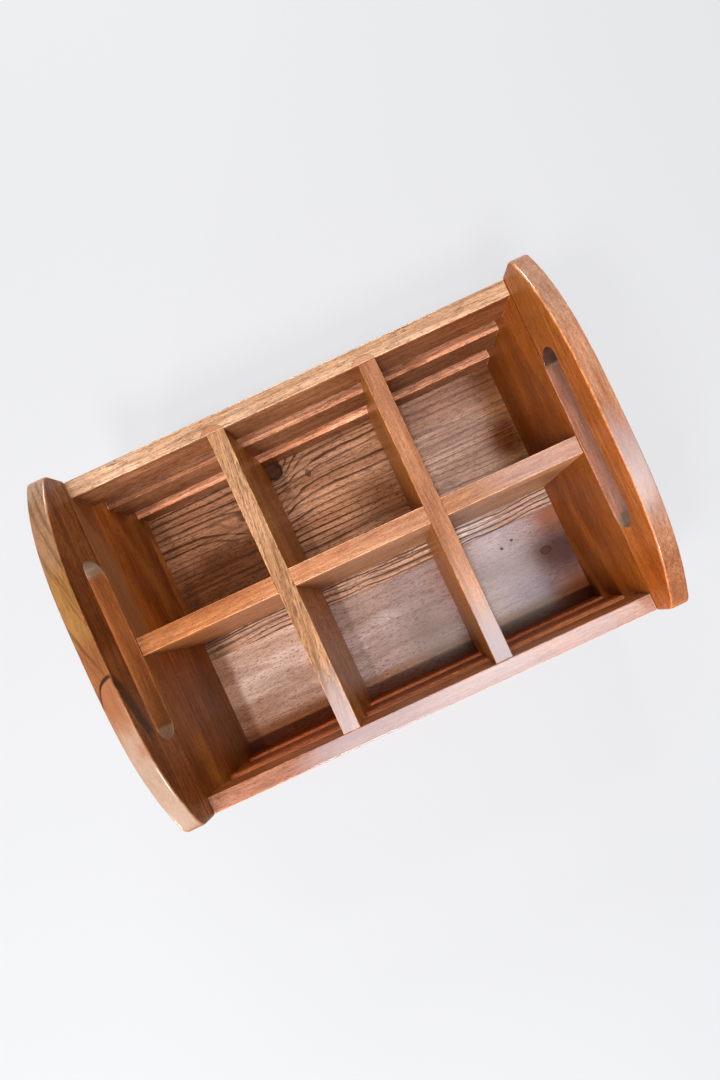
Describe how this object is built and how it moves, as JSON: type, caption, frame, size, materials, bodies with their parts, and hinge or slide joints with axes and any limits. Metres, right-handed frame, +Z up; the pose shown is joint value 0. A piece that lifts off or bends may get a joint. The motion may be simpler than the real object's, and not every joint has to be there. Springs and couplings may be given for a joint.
{
  "type": "glassware caddy",
  "caption": "Open-slatted wooden caddy with divided cells for glasses, and an arched handle board with a hand slot at each end.",
  "frame": {"origin": "centre of the underside, on the plane that the caddy stands on", "axes": "+X along the length towards the right end, +Y towards the back wall, +Z up"},
  "size_m": [0.323, 0.226, 0.142],
  "materials": {
    "end_wood": "satin oil on reddish brown wood",
    "handle_wood": "satin oil on orange brown wood",
    "slat_wood": "satin oil on tan wood with dark grain",
    "cross_divider_wood": "satin oil on pale tan wood with open pores",
    "long_divider_wood": "satin oil on orange brown wood",
    "floor_wood": "satin oil on streaked wood",
    "dowel_wood": "bare pale wood"
  },
  "bodies": {
    "root": {"left_end_board": "end_wood", "left_handle_board": "handle_wood", "left_cross_divider": "cross_divider_wood", "right_end_board": "end_wood", "right_handle_board": "handle_wood", "right_cross_divider": "cross_divider_wood", "long_divider": "long_divider_wood", "front_bottom_slat": "slat_wood", "front_middle_slat": "slat_wood", "front_top_slat": "slat_wood", "front_floor_board": "floor_wood", "back_bottom_slat": "slat_wood", "back_middle_slat": "slat_wood", "back_top_slat": "slat_wood", "back_floor_board": "floor_wood", "left_front_bottom_dowel": "dowel_wood", "left_front_middle_dowel": "dowel_wood", "left_front_top_dowel": "dowel_wood", "left_front_handle_dowel": "dowel_wood", "left_back_bottom_dowel": "dowel_wood", "left_back_middle_dowel": "dowel_wood", "left_back_top_dowel": "dowel_wood", "left_back_handle_dowel": "dowel_wood", "right_front_bottom_dowel": "dowel_wood", "right_front_middle_dowel": "dowel_wood", "right_front_top_dowel": "dowel_wood", "right_front_handle_dowel": "dowel_wood", "right_back_bottom_dowel": "dowel_wood", "right_back_middle_dowel": "dowel_wood", "right_back_top_dowel": "dowel_wood", "right_back_handle_dowel": "dowel_wood"}
  },
  "joints": []
}
